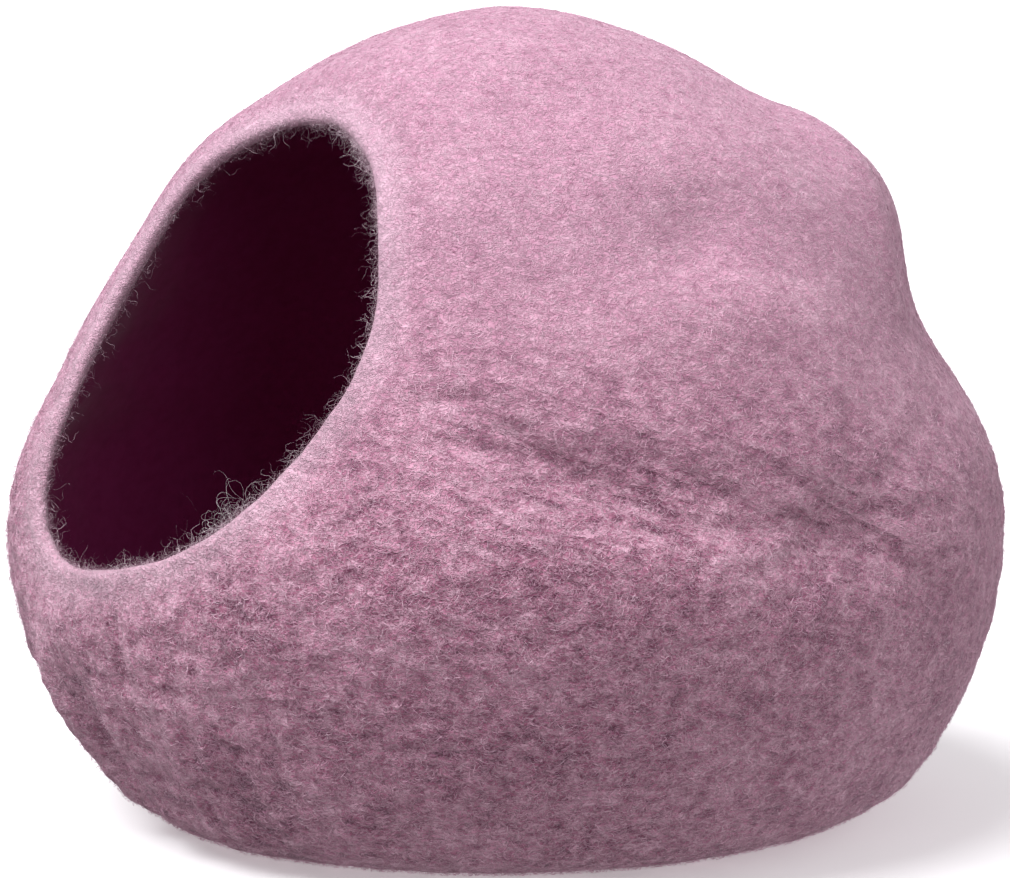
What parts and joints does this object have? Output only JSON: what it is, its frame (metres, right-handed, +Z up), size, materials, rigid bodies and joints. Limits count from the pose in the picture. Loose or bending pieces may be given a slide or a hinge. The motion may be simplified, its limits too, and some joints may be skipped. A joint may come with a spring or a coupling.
{
  "type": "felt cat cave",
  "caption": "Squashed round pet cave of thick seamless wool felt, with a round tipped-up mouth at the front and a flat base.",
  "frame": {"origin": "centre of the bounding box's bottom, on the surface the cave rests on", "axes": "+Z up, -Y out of the mouth, +X to the right of someone who faces the mouth"},
  "size_m": [0.4584, 0.4506, 0.3653],
  "materials": {
    "wool_felt": "hand-fulled wool felt, dull and fuzzy"
  },
  "bodies": {
    "root": {"felt_shell": "wool_felt"}
  },
  "joints": []
}
